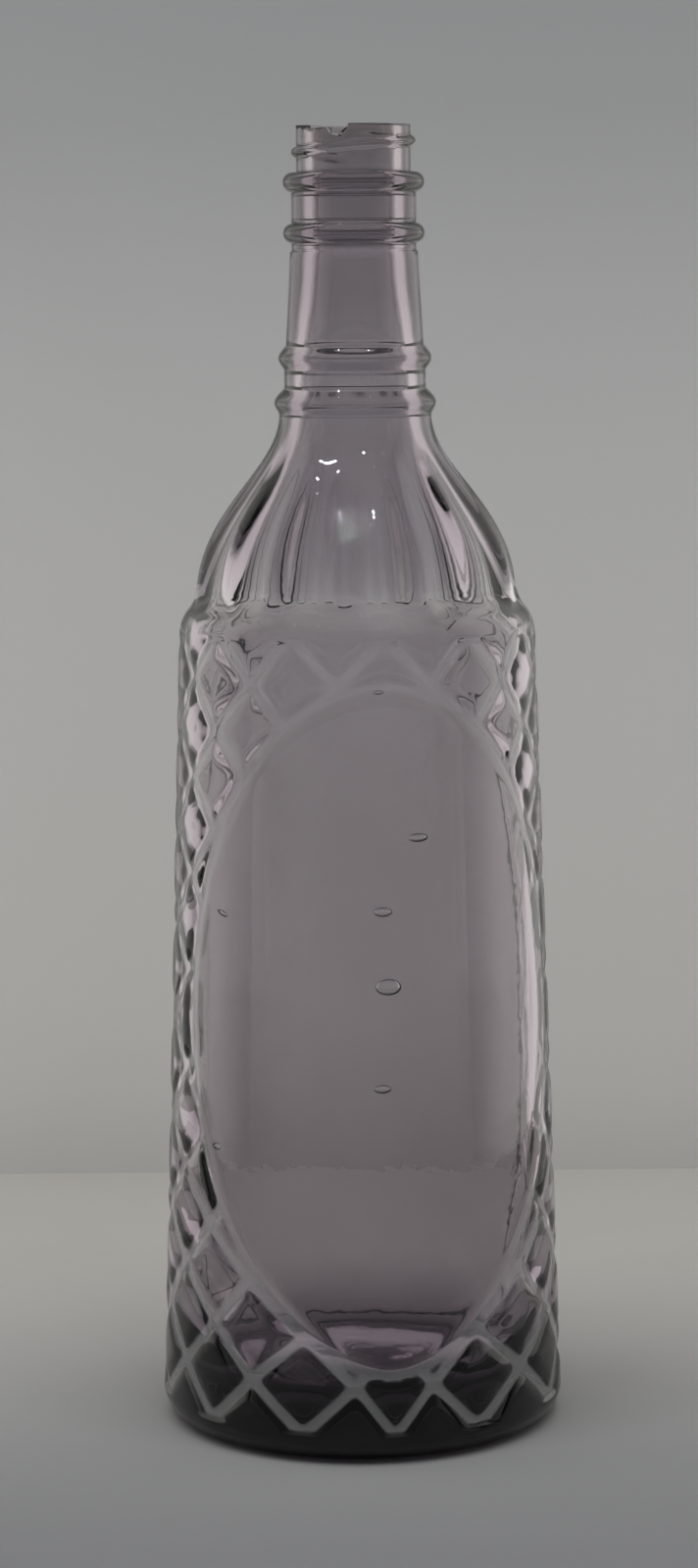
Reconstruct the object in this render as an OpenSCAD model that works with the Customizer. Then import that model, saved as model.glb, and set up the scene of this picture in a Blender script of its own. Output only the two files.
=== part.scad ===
// Antique glass bottle with a screw mouth, fluted shoulder, diamond-cut body
// and two smooth label panels. The real bottle is one piece of moulded glass.
// Here each zone of the glass is a solid of its own, and neighbours meet face
// to face: the finish (mouth, rings, thread), the neck, the shoulder, the body
// and the base, which are also the zones of the mould that shaped it.
// Origin: centre of the base, on the surface that the bottle stands on.
// +Z is up, and the front label panel faces -Y.

/* [Base] */
// Diameter of the body just above the heel
base_d = 90.8; // [88:0.2:94]
// Inner diameter of the ring that the bottle stands on
foot_inner_d = 72; // [66:1:74]
// Outer diameter of the ring that the bottle stands on
foot_outer_d = 78; // [76:1:80]
// Height of the smooth heel under the diamonds
heel_h = 6.6; // [5:0.2:8]
// Rise of the dished underside at its centre
push_up = 3; // [1:0.5:5]
// Thickness of the glass floor
floor_t = 11; // [6:0.5:14]

/* [Body] */
// Diameter of the body at the foot of the shoulder
body_top_d = 79.6; // [78:0.2:82]
// Height of the top of the straight body
body_top = 178.5; // [170:0.5:180]
// Thickness of the wall low down in the body
wall_low = 4.4; // [3.5:0.1:5]
// Thickness of the wall at the top of the body
wall_high = 3.4; // [3:0.1:4]

/* [Diamonds] */
// Number of diamonds around the body
diamonds = 12; // [10:2:14]
// Rows of strap crossings from the heel to the band
crossing_rows = 16; // [14:2:18]
// Width of the flat straps between the diamonds
strap_w = 2; // [1.5:0.1:2.5]
// Height of the diamonds above the straps
relief = 0.9; // [0.6:0.1:1.2]

/* [Label panels] */
// Half the angle that the front panel spans around the body, in degrees
front_half_angle = 70; // [66:1:72]
// Half the angle that the back panel spans around the body, in degrees
back_half_angle = 81; // [70:1:82]
// Height of the widest part of a panel
panel_middle = 95; // [90:1:100]
// Height of the top of both panels
panel_top = 169; // [160:1:170]
// Height of the lower tip of the front panel
front_panel_low = 21; // [18:1:30]
// Height of the lower tip of the back panel
back_panel_low = 8; // [8:1:30]
// Width of the flat border around a panel
border_w = 2.2; // [1.8:0.1:3]

/* [Shoulder] */
// Number of concave flutes around the shoulder
flutes = 14; // [12:1:16]
// Depth of a flute below its ridges
flute_depth = 1.6; // [0.8:0.1:2]
// Diameter over the ridges at the foot of the flutes
flute_d = 71.8; // [70:0.2:73]
// Height at which the flutes start
flute_low = 186; // [185:0.5:188]
// Height at which the flutes run out
flute_high = 226.7; // [224:0.1:228]

/* [Neck] */
// Diameter of the neck at the head of the shoulder
neck_low_d = 33.8; // [33:0.1:35]
// Diameter of the wall between the two neck beads
waist_d = 31.4; // [30.6:0.1:32]
// Diameter over the lower neck bead
lower_bead_d = 35.7; // [35:0.1:37]
// Diameter over the upper neck bead
upper_bead_d = 33.9; // [33:0.1:35]
// Diameter of the neck just under the mould's parting line
neck_high_d = 28.2; // [28:0.1:29]

/* [Mouth] */
// Height of the whole bottle
total_h = 289.8; // [288:0.1:292]
// Height of the mould's parting line, where the finish starts
finish_low = 262.2; // [261:0.1:263]
// Inner diameter of the mouth
bore_d = 18.4; // [17:0.2:19]
// Outer diameter of the finish below the upper ring
collar_d = 27.6; // [27.4:0.1:28]
// Outer diameter of the finish above the upper ring
mouth_d = 25.2; // [25:0.1:25.6]
// Outer diameter over the screw thread
thread_d = 27.4; // [27:0.1:27.8]
// Rise of the thread in one turn
thread_pitch = 4.2; // [3.8:0.1:4.6]
// Diameter over the two finish rings
ring_d = 31.2; // [30.6:0.1:32]
// Height of each finish ring
ring_h = 4.6; // [4:0.1:5]

/* [Hidden] */

$fn = 144;

glass = [0.66, 0.60, 0.66];
glass_light = [0.74, 0.68, 0.73];
glass_deep = [0.46, 0.41, 0.48];

// Body cone: outer radius over the diamonds, and radius of the strap floor
function body_r(z) =
    (base_d + (body_top_d - base_d) * (z - heel_h) / (body_top - heel_h)) / 2;
function strap_r(z) = body_r(z) - relief;

// Cavity of the body, a cone that starts above the rounded floor corner
cavity_low = 28;
cavity_high = 174;
corner_join_r = 30;
function floor_z(r) =
    floor_t + push_up * (1 - (r / corner_join_r) * (r / corner_join_r));
function cavity_r(z) = strap_r(z)
    - wall_low - (wall_high - wall_low) * (z - cavity_low) / (cavity_high - cavity_low);

// Cubic curve through two end points, steered by two control points
function curve(a, b, c, d, n) = [
    for (i = [0 : n])
        let (t = i / n, s = 1 - t)
        s * s * s * a + 3 * s * s * t * b + 3 * s * t * t * c + t * t * t * d
];

// Shoulder: ridge line of the flutes outside, smooth ogee inside
neck_cavity_r = 12.4;
RIDGE = curve(
    [flute_d / 2, flute_low], [flute_d / 2, flute_low + 20],
    [neck_low_d / 2, flute_high - 12], [neck_low_d / 2, flute_high], 13
);
SHOULDER_CAVITY = curve(
    [cavity_r(cavity_high), cavity_high], [cavity_r(cavity_high), 200],
    [neck_cavity_r, 209], [neck_cavity_r, flute_high], 20
);

// Radius of a list of [radius, height] points at a height
function radius_at(z, points) = lookup(z, [for (p = points) [p[1], p[0]]]);

// Heights from a to b in n equal steps, and the same backwards
function steps(a, b, n) = [for (i = [0 : n]) a + (b - a) * i / n];

// Cavity wall of the shoulder between two heights, top first
function shoulder_cavity(low, high, n) = [
    for (z = steps(high, low, n)) [radius_at(z, SHOULDER_CAVITY), z]
];

// Heights of the waist between the beads, and of the top of the upper bead
waist_low = 232.5;
waist_high = 236.4;
bead_high = 241.9;

// Radii of the neck's bore at the two ends of the upper bead, and the radius
// of the neck's wall just above that bead
waist_bore_r = 12;
neck_bore_r = 11.2;
neck_foot_r = 15.25;

// Rounded bulge from one height to another on a wall that runs straight
function bulge(low, high, r_low, r_high, r_top, n) = [
    for (i = [0 : n])
        let (t = i / n, wall = r_low + (r_high - r_low) * t)
        [wall + (r_top - (r_low + r_high) / 2) * sin(180 * t), low + (high - low) * t]
];

// Each label panel: half angle, height of its lower end, and how square its
// oval is above and below its widest part (2 is an ellipse)
FRONT_PANEL = [front_half_angle, front_panel_low, 1.9, 1.6];
BACK_PANEL = [back_half_angle, back_panel_low, 2.2, 3.2];

// Half angle of a label panel at a height, grown outward by a margin measured
// on the wall
function panel_angle(z, panel, grow = 0) =
    let (
        above = z > panel_middle,
        reach = (above ? panel_top - panel_middle : panel_middle - panel[1]) + grow,
        power = above ? panel[2] : panel[3],
        widest = panel[0] + grow / strap_r(panel_middle) * 180 / PI,
        t = min(1, abs(z - panel_middle) / reach)
    )
    widest * pow(1 - pow(t, power), 1 / power);

// Edge of a panel from its top to its tip, seen square on
panel_steps = 28;
function panel_side(side, panel, grow) = [
    for (i = [0 : panel_steps])
        let (
            swing = 90 - 180 * i / panel_steps,
            reach = (swing > 0 ? panel_top - panel_middle : panel_middle - panel[1]) + grow,
            z = panel_middle + reach * sin(swing)
        )
        [side * strap_r(z) * sin(panel_angle(z, panel, grow)), z]
];
module panel_outline(panel, grow) {
    polygon(concat(
        panel_side(1, panel, grow),
        [for (i = [panel_steps - 1 : -1 : 1]) panel_side(-1, panel, grow)[i]]
    ));
}

// Prism through the front wall (side -1) or the back wall (side 1)
module panel_prism(side, panel, grow) {
    rotate([0, 0, side > 0 ? 180 : 0])
        rotate([90, 0, 0])
            linear_extrude(height = base_d)
                panel_outline(panel, grow);
}

// Thin skin on the strap floor of the body, its seam turned off the diamonds
module body_skin(low, high, thickness) {
    rotate([0, 0, 0.2 * 360 / diamonds])
        rotate_extrude()
            polygon([
                [strap_r(low), low],
                [strap_r(low) + thickness, low],
                [strap_r(high) + thickness, high],
                [strap_r(high), high]
            ]);
}

module base_plate() {
    underside_steps = 8;
    color(glass_deep)
        rotate_extrude()
            polygon(concat(
                [for (r = steps(0, corner_join_r, underside_steps))
                    [r, push_up * (1 - pow(r / (foot_inner_d / 2), 2))]],
                [for (r = steps(corner_join_r, 0, underside_steps)) [r, floor_z(r)]]
            ));
}

module heel_ring() {
    foot_edge = push_up * (1 - pow(2 * corner_join_r / foot_inner_d, 2));
    heel_out = body_r(heel_h) - foot_outer_d / 2;
    color(glass_deep)
        rotate_extrude()
            polygon(concat(
                [[corner_join_r, heel_h], [corner_join_r, foot_edge], [foot_inner_d / 2, 0]],
                [for (a = [0 : 15 : 90])
                    [foot_outer_d / 2 + heel_out * sin(a), heel_h * (1 - cos(a))]]
            ));
}

module body_wall() {
    corner_r = cavity_r(cavity_low) - corner_join_r;
    corner_low = floor_z(corner_join_r);
    color(glass)
        rotate_extrude()
            polygon(concat(
                [[corner_join_r, heel_h], [body_r(heel_h) - relief, heel_h]],
                [[strap_r(body_top), body_top]],
                shoulder_cavity(cavity_high, body_top, 2),
                [for (a = [0 : 15 : 90])
                    [corner_join_r + corner_r * cos(a),
                     cavity_low - (cavity_low - corner_low) * sin(a)]]
            ));
}

// One diamond, pushed out through the wall where it stands
module diamond_prism(angle, z, half_w, half_h) {
    rotate([0, 0, angle - 90])
        rotate([90, 0, 180])
            translate([0, z, 0])
                linear_extrude(height = base_d)
                    polygon([[half_w, 0], [0, half_h], [-half_w, 0], [0, -half_h]]);
}

// The top row of straps runs a little way up onto the smooth band
band_overlap = 2.5;
row_h = (body_top + band_overlap - heel_h) / crossing_rows;

// Diamonds whose middle lies outside both label panels
strap_share = strap_w * 0.7;
panel_clearance = 11;
module diamond_field() {
    turn = 360 / diamonds;
    for (row = [0 : crossing_rows]) {
        z = heel_h + row * row_h;
        half_w = body_r(z) * sin(turn / 2) - strap_share;
        for (i = [0 : diamonds - 1]) {
            angle = (i + (row % 2 == 0 ? 0.5 : 0)) * turn;
            off_front = min(angle, 360 - angle);
            off_back = abs(180 - angle);
            if (off_front > panel_angle(z, FRONT_PANEL) - panel_clearance
                && off_back > panel_angle(z, BACK_PANEL) - panel_clearance)
                diamond_prism(angle - 90, z, half_w, row_h - strap_share);
        }
    }
}

module diamond_lattice() {
    lowest = heel_h + strap_w * 0.4;
    color(glass_light)
        difference() {
            intersection() {
                body_skin(lowest, body_top, relief);
                diamond_field();
            }
            panel_prism(-1, FRONT_PANEL, border_w + strap_w / 2);
            panel_prism(1, BACK_PANEL, border_w + strap_w / 2);
        }
}

// Heights of the panel and of its border, as shares of the diamonds' relief
panel_share = 0.6;
border_share = 0.4;

// Smooth panel, lower than the diamonds
module label_panel(side, panel) {
    color(glass)
        intersection() {
            body_skin(heel_h, body_top, relief * panel_share);
            panel_prism(side, panel, 0);
        }
}

// Flat border that frames a panel
module panel_border(side, panel) {
    color(glass_light)
        difference() {
            intersection() {
                body_skin(heel_h, body_top, relief * border_share);
                panel_prism(side, panel, border_w);
            }
            panel_prism(side, panel, 0);
        }
}

module shoulder_band() {
    band_r = body_r(body_top);
    foot_r = flute_d / 2;
    bend_h = flute_low - body_top - 0.8;
    lip_w = 0.3;
    color(glass_light)
        rotate_extrude()
            polygon(concat(
                [for (a = [0 : 15 : 90])
                    [foot_r + lip_w + (band_r - foot_r - lip_w) * cos(a),
                     body_top + bend_h * sin(a)]],
                [[foot_r, flute_low]],
                shoulder_cavity(body_top, flute_low, 4)
            ));
}

// Outer skin of the fluted shoulder: rings of points with scalloped hollows
module fluted_form() {
    per_flute = 6;
    around = flutes * per_flute;
    rings = len(RIDGE);
    points = [
        for (k = [0 : rings - 1])
            let (rise = k / (rings - 1), depth = flute_depth * min(1, 3 * (1 - rise)))
            for (i = [0 : around - 1])
                let (
                    u = (i % per_flute) / per_flute,
                    r = RIDGE[k][0] - depth * 4 * u * (1 - u) * RIDGE[k][0] / RIDGE[0][0],
                    a = (i / per_flute + 0.5) * 360 / flutes - 90
                )
                [r * cos(a), r * sin(a), RIDGE[k][1]]
    ];
    sides = [
        for (k = [0 : rings - 2])
            for (i = [0 : around - 1])
                let (j = (i + 1) % around, low = k * around, high = low + around)
                for (face = [[low + i, high + i, low + j], [low + j, high + i, high + j]])
                    face
    ];
    caps = [
        [for (i = [0 : around - 1]) i],
        [for (i = [around - 1 : -1 : 0]) (rings - 1) * around + i]
    ];
    polyhedron(points = points, faces = concat(sides, caps));
}

module fluted_shoulder() {
    color(glass)
        difference() {
            fluted_form();
            rotate_extrude()
                polygon(concat(
                    [[0, flute_low - 1], [radius_at(flute_low, SHOULDER_CAVITY), flute_low - 1]],
                    [for (z = steps(flute_low, flute_high, 12))
                        [radius_at(z, SHOULDER_CAVITY), z]],
                    [[neck_cavity_r, flute_high + 1], [0, flute_high + 1]]
                ));
        }
}

module lower_neck_bead() {
    color(glass_light)
        rotate_extrude()
            polygon(concat(
                bulge(flute_high, waist_low, neck_low_d / 2, waist_d / 2, lower_bead_d / 2, 10),
                [[neck_cavity_r, waist_low], [neck_cavity_r, flute_high]]
            ));
}

module neck_waist() {
    color(glass)
        rotate_extrude()
            polygon([
                [neck_cavity_r, waist_low], [waist_d / 2, waist_low],
                [waist_d / 2, waist_high], [waist_bore_r, waist_high]
            ]);
}

module upper_neck_bead() {
    color(glass_light)
        rotate_extrude()
            polygon(concat(
                bulge(waist_high, bead_high, waist_d / 2, neck_foot_r, upper_bead_d / 2, 10),
                [[neck_bore_r, bead_high], [waist_bore_r, waist_high]]
            ));
}

module neck_tube() {
    color(glass)
        rotate_extrude()
            polygon([
                [neck_bore_r, bead_high], [neck_foot_r, bead_high],
                [neck_high_d / 2, finish_low], [bore_d / 2, finish_low]
            ]);
}

// Heights of the middles of the two finish rings
lower_ring_rise = 4.1;
upper_ring_rise = 15.2;
lower_ring_z = finish_low + lower_ring_rise;
upper_ring_z = finish_low + upper_ring_rise;

// Turn of the chip and of the thread around the mouth, from the front panel
finish_turn = -8.5;

// Mouth wall with a straight bore, a step at the upper ring and a chipped lip:
// a stretch of the front-left rim is lower, and ends in a deeper round notch
module mouth_wall() {
    lip_bevel = 0.8;
    chip_drop = 0.9;
    chip_end = 2.5;
    notch_side = 3.4;
    notch_r = 2.4;
    color(glass)
        difference() {
            rotate_extrude()
                polygon([
                    [bore_d / 2, finish_low], [collar_d / 2, finish_low],
                    [collar_d / 2, upper_ring_z], [mouth_d / 2, upper_ring_z],
                    [mouth_d / 2, total_h - lip_bevel], [mouth_d / 2 - lip_bevel, total_h],
                    [bore_d / 2, total_h]
                ]);
            rotate([0, 0, finish_turn])
                translate([-mouth_d - chip_end, -mouth_d, total_h - chip_drop])
                    cube([mouth_d, mouth_d, 2 * chip_drop]);
            rotate([0, 0, finish_turn])
                translate([-notch_side, -mouth_d / 2, total_h])
                    rotate([-90, 0, 0])
                        cylinder(r = notch_r, h = (mouth_d - bore_d) / 2 + 2, center = true);
        }
}

// Solid glass ring of round section, seated on the finish
module finish_ring(z, wall_low_d, wall_high_d) {
    n = 12;
    section_r = ring_h / 2;
    middle_r = ring_d / 2 - section_r;
    low_end = -acos((wall_low_d / 2 - middle_r) / section_r);
    high_end = acos((wall_high_d / 2 - middle_r) / section_r);
    seat = wall_low_d == wall_high_d ? [] : [[wall_high_d / 2, z], [wall_low_d / 2, z]];
    color(glass_light)
        rotate_extrude()
            polygon(concat(
                [for (a = steps(low_end, high_end, n))
                    [middle_r + section_r * cos(a), z + section_r * sin(a)]],
                seat
            ));
}

module lower_finish_ring() {
    finish_ring(lower_ring_z, collar_d, collar_d);
}

module upper_finish_ring() {
    finish_ring(upper_ring_z, collar_d, mouth_d);
}

// Rounded bead that climbs one turn around the mouth, right-handed
module screw_thread() {
    bead_h = 2;
    segments = 48;
    section = 10;
    front_z = total_h - 4.6;
    sunk = 0.4;
    core_r = mouth_d / 2 - sunk;
    points = [
        for (k = [0 : segments])
            let (
                turn = k / segments - 0.5,
                a = 360 * turn - 90 + finish_turn,
                fade = min(1, 6 * (0.5 - abs(turn)) + 0.25),
                z = front_z + thread_pitch * turn
            )
            for (i = [0 : section - 1])
                let (
                    s = 360 * i / section,
                    r = core_r + (thread_d / 2 - core_r) * fade * cos(s)
                )
                [r * cos(a), r * sin(a), z + bead_h / 2 * fade * sin(s)]
    ];
    sides = [
        for (k = [0 : segments - 1])
            for (i = [0 : section - 1])
                let (j = (i + 1) % section, low = k * section, high = low + section)
                for (face = [[low + i, low + j, high + i], [low + j, high + j, high + i]])
                    face
    ];
    caps = [
        [for (i = [section - 1 : -1 : 0]) i],
        [for (i = [0 : section - 1]) segments * section + i]
    ];
    color(glass_light)
        difference() {
            polyhedron(points = points, faces = concat(sides, caps));
            translate([0, 0, finish_low])
                cylinder(d = mouth_d, h = total_h);
        }
}

base_plate();
heel_ring();
body_wall();
diamond_lattice();
label_panel(-1, FRONT_PANEL);  // front_label_panel
label_panel(1, BACK_PANEL);  // back_label_panel
panel_border(-1, FRONT_PANEL);  // front_panel_border
panel_border(1, BACK_PANEL);  // back_panel_border
shoulder_band();
fluted_shoulder();
lower_neck_bead();
neck_waist();
upper_neck_bead();
neck_tube();
mouth_wall();
lower_finish_ring();
upper_finish_ring();
screw_thread();
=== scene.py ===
import math

import bpy
import numpy as np
from mathutils import Matrix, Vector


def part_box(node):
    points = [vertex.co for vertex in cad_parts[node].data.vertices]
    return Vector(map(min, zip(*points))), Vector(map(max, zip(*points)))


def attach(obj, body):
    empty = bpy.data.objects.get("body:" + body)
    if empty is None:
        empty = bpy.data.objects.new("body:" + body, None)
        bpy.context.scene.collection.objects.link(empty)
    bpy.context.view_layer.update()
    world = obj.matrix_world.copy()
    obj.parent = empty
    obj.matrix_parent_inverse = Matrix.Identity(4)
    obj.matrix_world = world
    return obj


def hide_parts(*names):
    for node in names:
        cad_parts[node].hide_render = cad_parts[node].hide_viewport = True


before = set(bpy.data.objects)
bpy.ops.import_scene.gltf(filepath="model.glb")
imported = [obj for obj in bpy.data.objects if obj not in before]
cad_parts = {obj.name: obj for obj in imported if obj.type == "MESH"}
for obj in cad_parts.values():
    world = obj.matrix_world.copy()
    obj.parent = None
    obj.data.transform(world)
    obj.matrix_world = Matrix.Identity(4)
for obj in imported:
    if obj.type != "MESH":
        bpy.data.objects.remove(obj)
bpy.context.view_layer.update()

# Lengths here are millimetres, and angles are degrees around the bottle: 0 is the middle
# of the front label panel (-Y) and 90 is +X.
MM = 0.001


def span(node):
    """Lowest height, highest height and outer radius of a CAD node."""
    low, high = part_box(node)
    return low.z / MM, high.z / MM, high.x / MM


# ---------------------------------------------------------------- sizes from the frame

_, HEEL_TOP, BASE_R = span("heel_ring")
_, BODY_TOP, _ = span("body_wall")
_, _, BAND_R = span("shoulder_band")
FLUTE_LOW, FLUTE_HIGH, FLUTE_R = span("fluted_shoulder")
_, WAIST_LOW, LOWER_BEAD_R = span("lower_neck_bead")
_, WAIST_HIGH, WAIST_R = span("neck_waist")
_, BEAD_HIGH, UPPER_BEAD_R = span("upper_neck_bead")
_, FINISH_LOW, TUBE_R = span("neck_tube")
_, TOTAL_H, _ = span("mouth_wall")
RING_LOW, RING_HIGH, RING_R = span("lower_finish_ring")
UPPER_RING_LOW, UPPER_RING_HIGH, _ = span("upper_finish_ring")
PANEL_LOW, PANEL_TOP, _ = span("front_label_panel")
BACK_PANEL_LOW, _, _ = span("back_label_panel")
_, _, THREAD_R = span("screw_thread")

# ---------------------------------------------------------------- camera

# It stands a little to the left of the front panel's middle.
CAMERA_TURN = -8.5
CAMERA_DISTANCE = 849.4
CAMERA_HEIGHT = 262.4
CAMERA_PITCH = 7.94
CAMERA_YAW = 0.139
CAMERA_ROLL = 0.474
CAMERA_LENS = 87.75
SENSOR_WIDTH = 36

# ---------------------------------------------------------------- shape of the glass

# Columns of vertices in half a diamond, and so around the bottle.
HALF_DIAMOND = 21
DIAMONDS = 12
COLUMNS = 2 * DIAMONDS * HALF_DIAMOND
AROUND = -180 + 360 / COLUMNS * np.arange(COLUMNS)

# Underside, foot and the rows of half diamonds above the heel.
FOOT_IN, FOOT_OUT, PUSH_UP = 36, 39, 3
ROWS = 16
ROW_H = (BODY_TOP + 2.5 - HEEL_TOP) / ROWS
RELIEF = 0.75

# Knuckle above the diamonds: where it leaves the cone, its steepest point, and its end.
KNEE_LOW, KNEE_MIDDLE, KNEE_TOP = 177.5, (37.6, 183.8), 189.0
VALLEY_STEP = 0.4
FINE_FLUTE_TOP = 193

# Neck and finish.
NECK_LOW_R, NECK_HIGH_R = 16.9, 14.1
COLLAR_R, MOUTH_R, BORE_R = 13.8, 12.6, 9.2
LIP_ROUND, BORE_ROUND = 0.8, 0.5
FINISH_STEP = 0.35

# Inside: wall, cavity and floor, and the heights where the neck's curves bend.
WALL_LOW, WALL_HIGH = 4.4, 3.4
CAVITY_LOW, CAVITY_HIGH = 28, 174
CORNER_R, FLOOR_T = 30, 11
NECK_CAVITY_R = 12.4
BORE_BENDS = 251, 243
SHOULDER_BENDS = 209, 200

# Straps between the diamonds, the diamonds' flanks, and the borders of the panels.
STRAP, FLANK = 2.0, 3.4
BORDER, BORDER_FLANK = 2.0, 2.6
PANEL_MIDDLE = 95
# Half angle of a panel, and how square its oval is above and below the middle.
FRONT_SHAPE = (70, 1.9, 1.6)
BACK_SHAPE = (81, 2.2, 3.2)
PANEL_RISE, PANEL_EDGE = 0.5, 3.0
# The diamonds beside the front panel's lower tip are pinched towards it.
PINCH_AT = [-180, -95, -72, -45, -28, -13, 0, 13, 28, 45, 60, 75, 180]
PINCH = [0, 1.5, 4.2, 3.3, 4.8, 4.3, 0.6, -3, -4.5, -1.5, 1, 0, 0]
PINCH_ROWS = [0, 1, 2, 3, 4, 5]
PINCH_SHARE = [0.9, 1, 1, 0.55, 0.2, 0]

# Flutes: their depth, where a flute's hollow turns into its ridge, and where they start.
FLUTES, FLUTE_DEPTH, RIDGE_AT = 14, 1.9, 0.6
FLUTE_START, FLUTE_START_BOW, FLUTE_START_RUN = 183.6, 3.4, 4.2

# Thread: its middle height, how far it climbs in half a turn, and half its width.
THREAD_Z, THREAD_CLIMB, THREAD_HALF = 285.15, 2.5, 1.05
THREAD_FADE = 30

# Chipped lip, in degrees from the camera's side.
CHIP_FROM, CHIP_TO, CHIP_DEPTH = -92, -12, 0.9
NOTCH_AT, NOTCH_HALF, NOTCH_DEPTH = -15.5, 11, 2.0
CHIP_MOST, CHIP_REACH = 2.6, 5

# Soft waves of the inner wall: turns around, lean, height and phase.
WAVES = [(3, 0.011, 0.12, 40), (5, -0.017, 0.1, 200), (8, 0.02, 0.06, 90), (13, 0.01, 0.035, 10),
         (21, -0.012, 0.02, 300)]

# Bubbles: angle, height, width, height of the bubble, thickness, depth in the wall and lean.
BUBBLES = [
    (-1.9, 168.9, 2.3, 1.0, 0.7, 1.6, 0),
    (10.4, 137.4, 4.4, 1.9, 1.0, 1.9, 0),
    (-1.2, 121.6, 4.0, 2.1, 1.0, 1.8, 0),
    (0.3, 105.2, 5.6, 3.6, 1.3, 2.0, 0),
    (-1.9, 83.0, 3.7, 1.9, 1.0, 1.9, 0),
    (-55.9, 119.5, 3.4, 1.2, 0.8, 1.8, -15),
    (-57.2, 67.6, 2.6, 1.6, 0.8, 1.8, 0),
]

# ---------------------------------------------------------------- glass material

GLASS_IOR = 1.52
GLASS_TINT, TINT_DENSITY = (0.25, 0.13, 0.24), 100
# Old stain and painted shade: none on the body, heights and shades on the neck, and its colour at the
# mouth. The darkening on the neck and at the mouth is partly stain and partly painted shade, and the dark
# bands along the rings' edges are painted shade.
STAIN_AND_SHADE_BANDS = [
    (BEAD_HIGH, 1.0), (RING_LOW - 1.0, 1.0), (RING_LOW + 0.2, 0.66), (RING_LOW + 1.3, 0.86),
    (RING_HIGH - 0.8, 0.9), (RING_HIGH, 0.74), (RING_HIGH + 0.8, 0.93), (UPPER_RING_LOW - 0.8, 0.91),
    (UPPER_RING_LOW + 0.2, 0.6), (UPPER_RING_LOW + 1.3, 0.83), (UPPER_RING_HIGH - 0.8, 0.87),
    (UPPER_RING_HIGH, 0.71), (UPPER_RING_HIGH + 0.9, 0.87),
]
MOUTH_STAIN = (0.8, 0.775, 0.765)
STAIN_WARMTH = 0.99
FILM_LEAST = 0.95
# Dust: the share of light that it stops, and the least part of that between its patches. It is
# thinnest above DUST_HIGH, and thickens over DUST_RUN below that.
DUST, DUST_LEAST = 0.2, 0.75
DUST_HIGH, DUST_RUN = 75, 55
RIPPLE_SCALE, RIPPLE_STRENGTH, RIPPLE_HEIGHT = 90, 0.25, 0.0004

# ---------------------------------------------------------------- stage and light

WALL_BEHIND, WALL_HALF_WIDTH, WALL_TOP = 225, 380, 900
TABLE_HALF, TABLE_SHADES_FROM = 8000, -600
# Painted light and shade: the table's colour grows lighter towards the wall, and the wall's colour darkens
# upwards.
TABLE_PAINTED_SHADE = [
    (0.0, (0.155, 0.155, 0.158)),
    (0.6, (0.165, 0.165, 0.168)),
    (0.68, (0.205, 0.205, 0.203)),
    (0.77, (0.31, 0.305, 0.295)),
    (0.87, (0.35, 0.34, 0.315)),
    (1.0, (0.33, 0.32, 0.295)),
]
WALL_SHADES_TO = 400
WALL_PAINTED_SHADE = [
    (0.0, (0.47, 0.46, 0.44)),
    (0.06, (0.55, 0.54, 0.52)),
    (0.16, (0.55, 0.54, 0.52)),
    (0.3, (0.51, 0.505, 0.485)),
    (0.45, (0.465, 0.46, 0.455)),
    (0.6, (0.385, 0.385, 0.38)),
    (0.75, (0.285, 0.285, 0.285)),
    (1.0, (0.198, 0.201, 0.205)),
]
FAR_START, FAR_END, FAR_COLOUR = 330, 900, (0.72, 0.715, 0.70)

# Painted pool of light, a glowing disc on the table under the clear glass: strength, radius, height,
# colour and its fade.
PAINTED_POOL_GLOW, UNDER_R, UNDER_Z = 0.85, 35.5, 0.02
UNDER_COLOUR, UNDER_FADE = (1, 0.985, 0.96), (-12, 22, 0.04)

ROOM_COLOUR = (1.0, 0.985, 0.98)
SIDE_LIGHT, TOP_LIGHT, ROOM_LIGHT = 0.3, 0.3, 0.15
SIDE_LOBE, TOP_LOBE = (0.62, 1.0), (0.3, 1.0)

DIFFUSER_SIDE, DIFFUSER_FRONT, DIFFUSER_LOW, DIFFUSER_TOP = 360, -160, 90, 800
FRONT_FADE, TOP_FADE = 180, 250
DIFFUSER_COLOUR = (1, 0.98, 0.975)
LEFT_GLOW, RIGHT_GLOW = 1.8, 1.3
# The wings start just outside the camera's view of the wall and brighten outwards.
WING_START, WING_FULL, WING_LEAST, WING_LOW = 104, 240, 0.27, 0.5
WING_COLOUR, WING_POINTS = (1, 0.99, 0.94), 25
LEFT_WING, RIGHT_WING = 0.95, 1.05

WALL_LAMP, WALL_LAMP_SIZE = 6.4, (1200, 500)
WALL_LAMP_AT, WALL_LAMP_AIM = (0, -150, 900), 120
# Small lamps whose reflections are the glints on the shoulder: turn and rise of each.
WINDOWS = [(-47, 54), (-38, 60), (-62, 57), (-30, 50), (18, 52), (30, 59), (42, 54), (12, 66),
           (-56, 72), (54, 74)]
WINDOW_AWAY, WINDOW_SIZE, WINDOW_LIGHT = 1100, (8, 10), 0.35
WINDOW_AIM, WINDOW_COLOUR = 190, (0.85, 0.92, 1.0)


def camera_axes():
    """Right, up and backward axes of the camera, with its pitch, yaw and roll."""
    heading = math.radians(CAMERA_TURN + CAMERA_YAW)
    forward = np.array([-math.sin(heading), math.cos(heading), 0.0])
    right = np.array([math.cos(heading), math.sin(heading), 0.0])
    pitch, roll = math.radians(CAMERA_PITCH), math.radians(CAMERA_ROLL)
    ahead = math.cos(pitch) * forward - math.sin(pitch) * np.array([0, 0, 1.0])
    up = math.sin(pitch) * forward + math.cos(pitch) * np.array([0, 0, 1.0])
    tilted_right = math.cos(roll) * right - math.sin(roll) * up
    tilted_up = math.sin(roll) * right + math.cos(roll) * up
    return tilted_right, tilted_up, -ahead


def in_camera_frame(side, ahead, height):
    """A point given by its distance to the camera's right, away from it, and up."""
    turn = math.radians(CAMERA_TURN)
    x = side * math.cos(turn) - ahead * math.sin(turn)
    y = side * math.sin(turn) + ahead * math.cos(turn)
    return x * MM, y * MM, height * MM


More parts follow.
